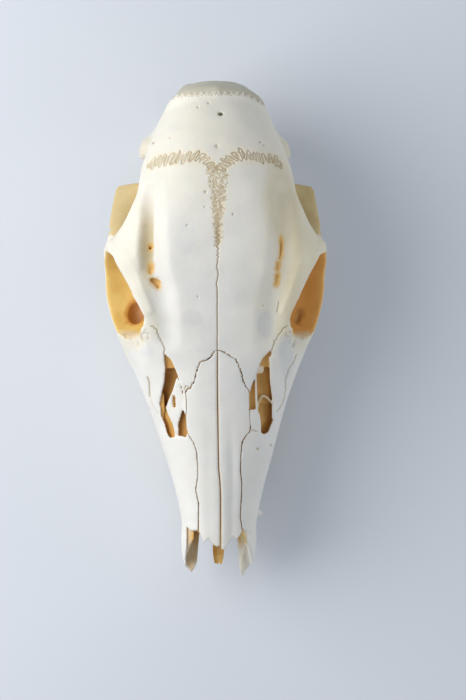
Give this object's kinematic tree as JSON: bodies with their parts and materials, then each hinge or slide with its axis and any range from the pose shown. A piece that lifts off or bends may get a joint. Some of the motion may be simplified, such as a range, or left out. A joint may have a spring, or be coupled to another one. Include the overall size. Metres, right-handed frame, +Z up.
{
  "type": "white-tailed deer skull",
  "caption": "Dry deer cranium without antlers, lower jaw or premaxillae, resting on its cheek teeth and paroccipital processes; a study, display or set-dressing piece.",
  "frame": {"origin": "middle of the bounding box's base, in the plane of the worn tooth crowns", "axes": "+Z up through the skull roof, -Y along the snout, +X to the right when the skull is seen from above with its snout down the page"},
  "size_m": [0.1032, 0.2352, 0.1014],
  "materials": {
    "bone": "matte",
    "stained_bone": "matte",
    "tooth": "satin"
  },
  "bodies": {
    "root": {"cranium": "bone", "nasal_left": "bone", "nasal_right": "bone", "vomer": "stained_bone", "premolar_2_left": "tooth", "premolar_2_right": "tooth", "premolar_3_left": "tooth", "premolar_3_right": "tooth", "premolar_4_left": "tooth", "premolar_4_right": "tooth", "molar_1_left": "tooth", "molar_1_right": "tooth", "molar_2_left": "tooth", "molar_2_right": "tooth", "molar_3_left": "tooth", "molar_3_right": "tooth"}
  },
  "joints": []
}
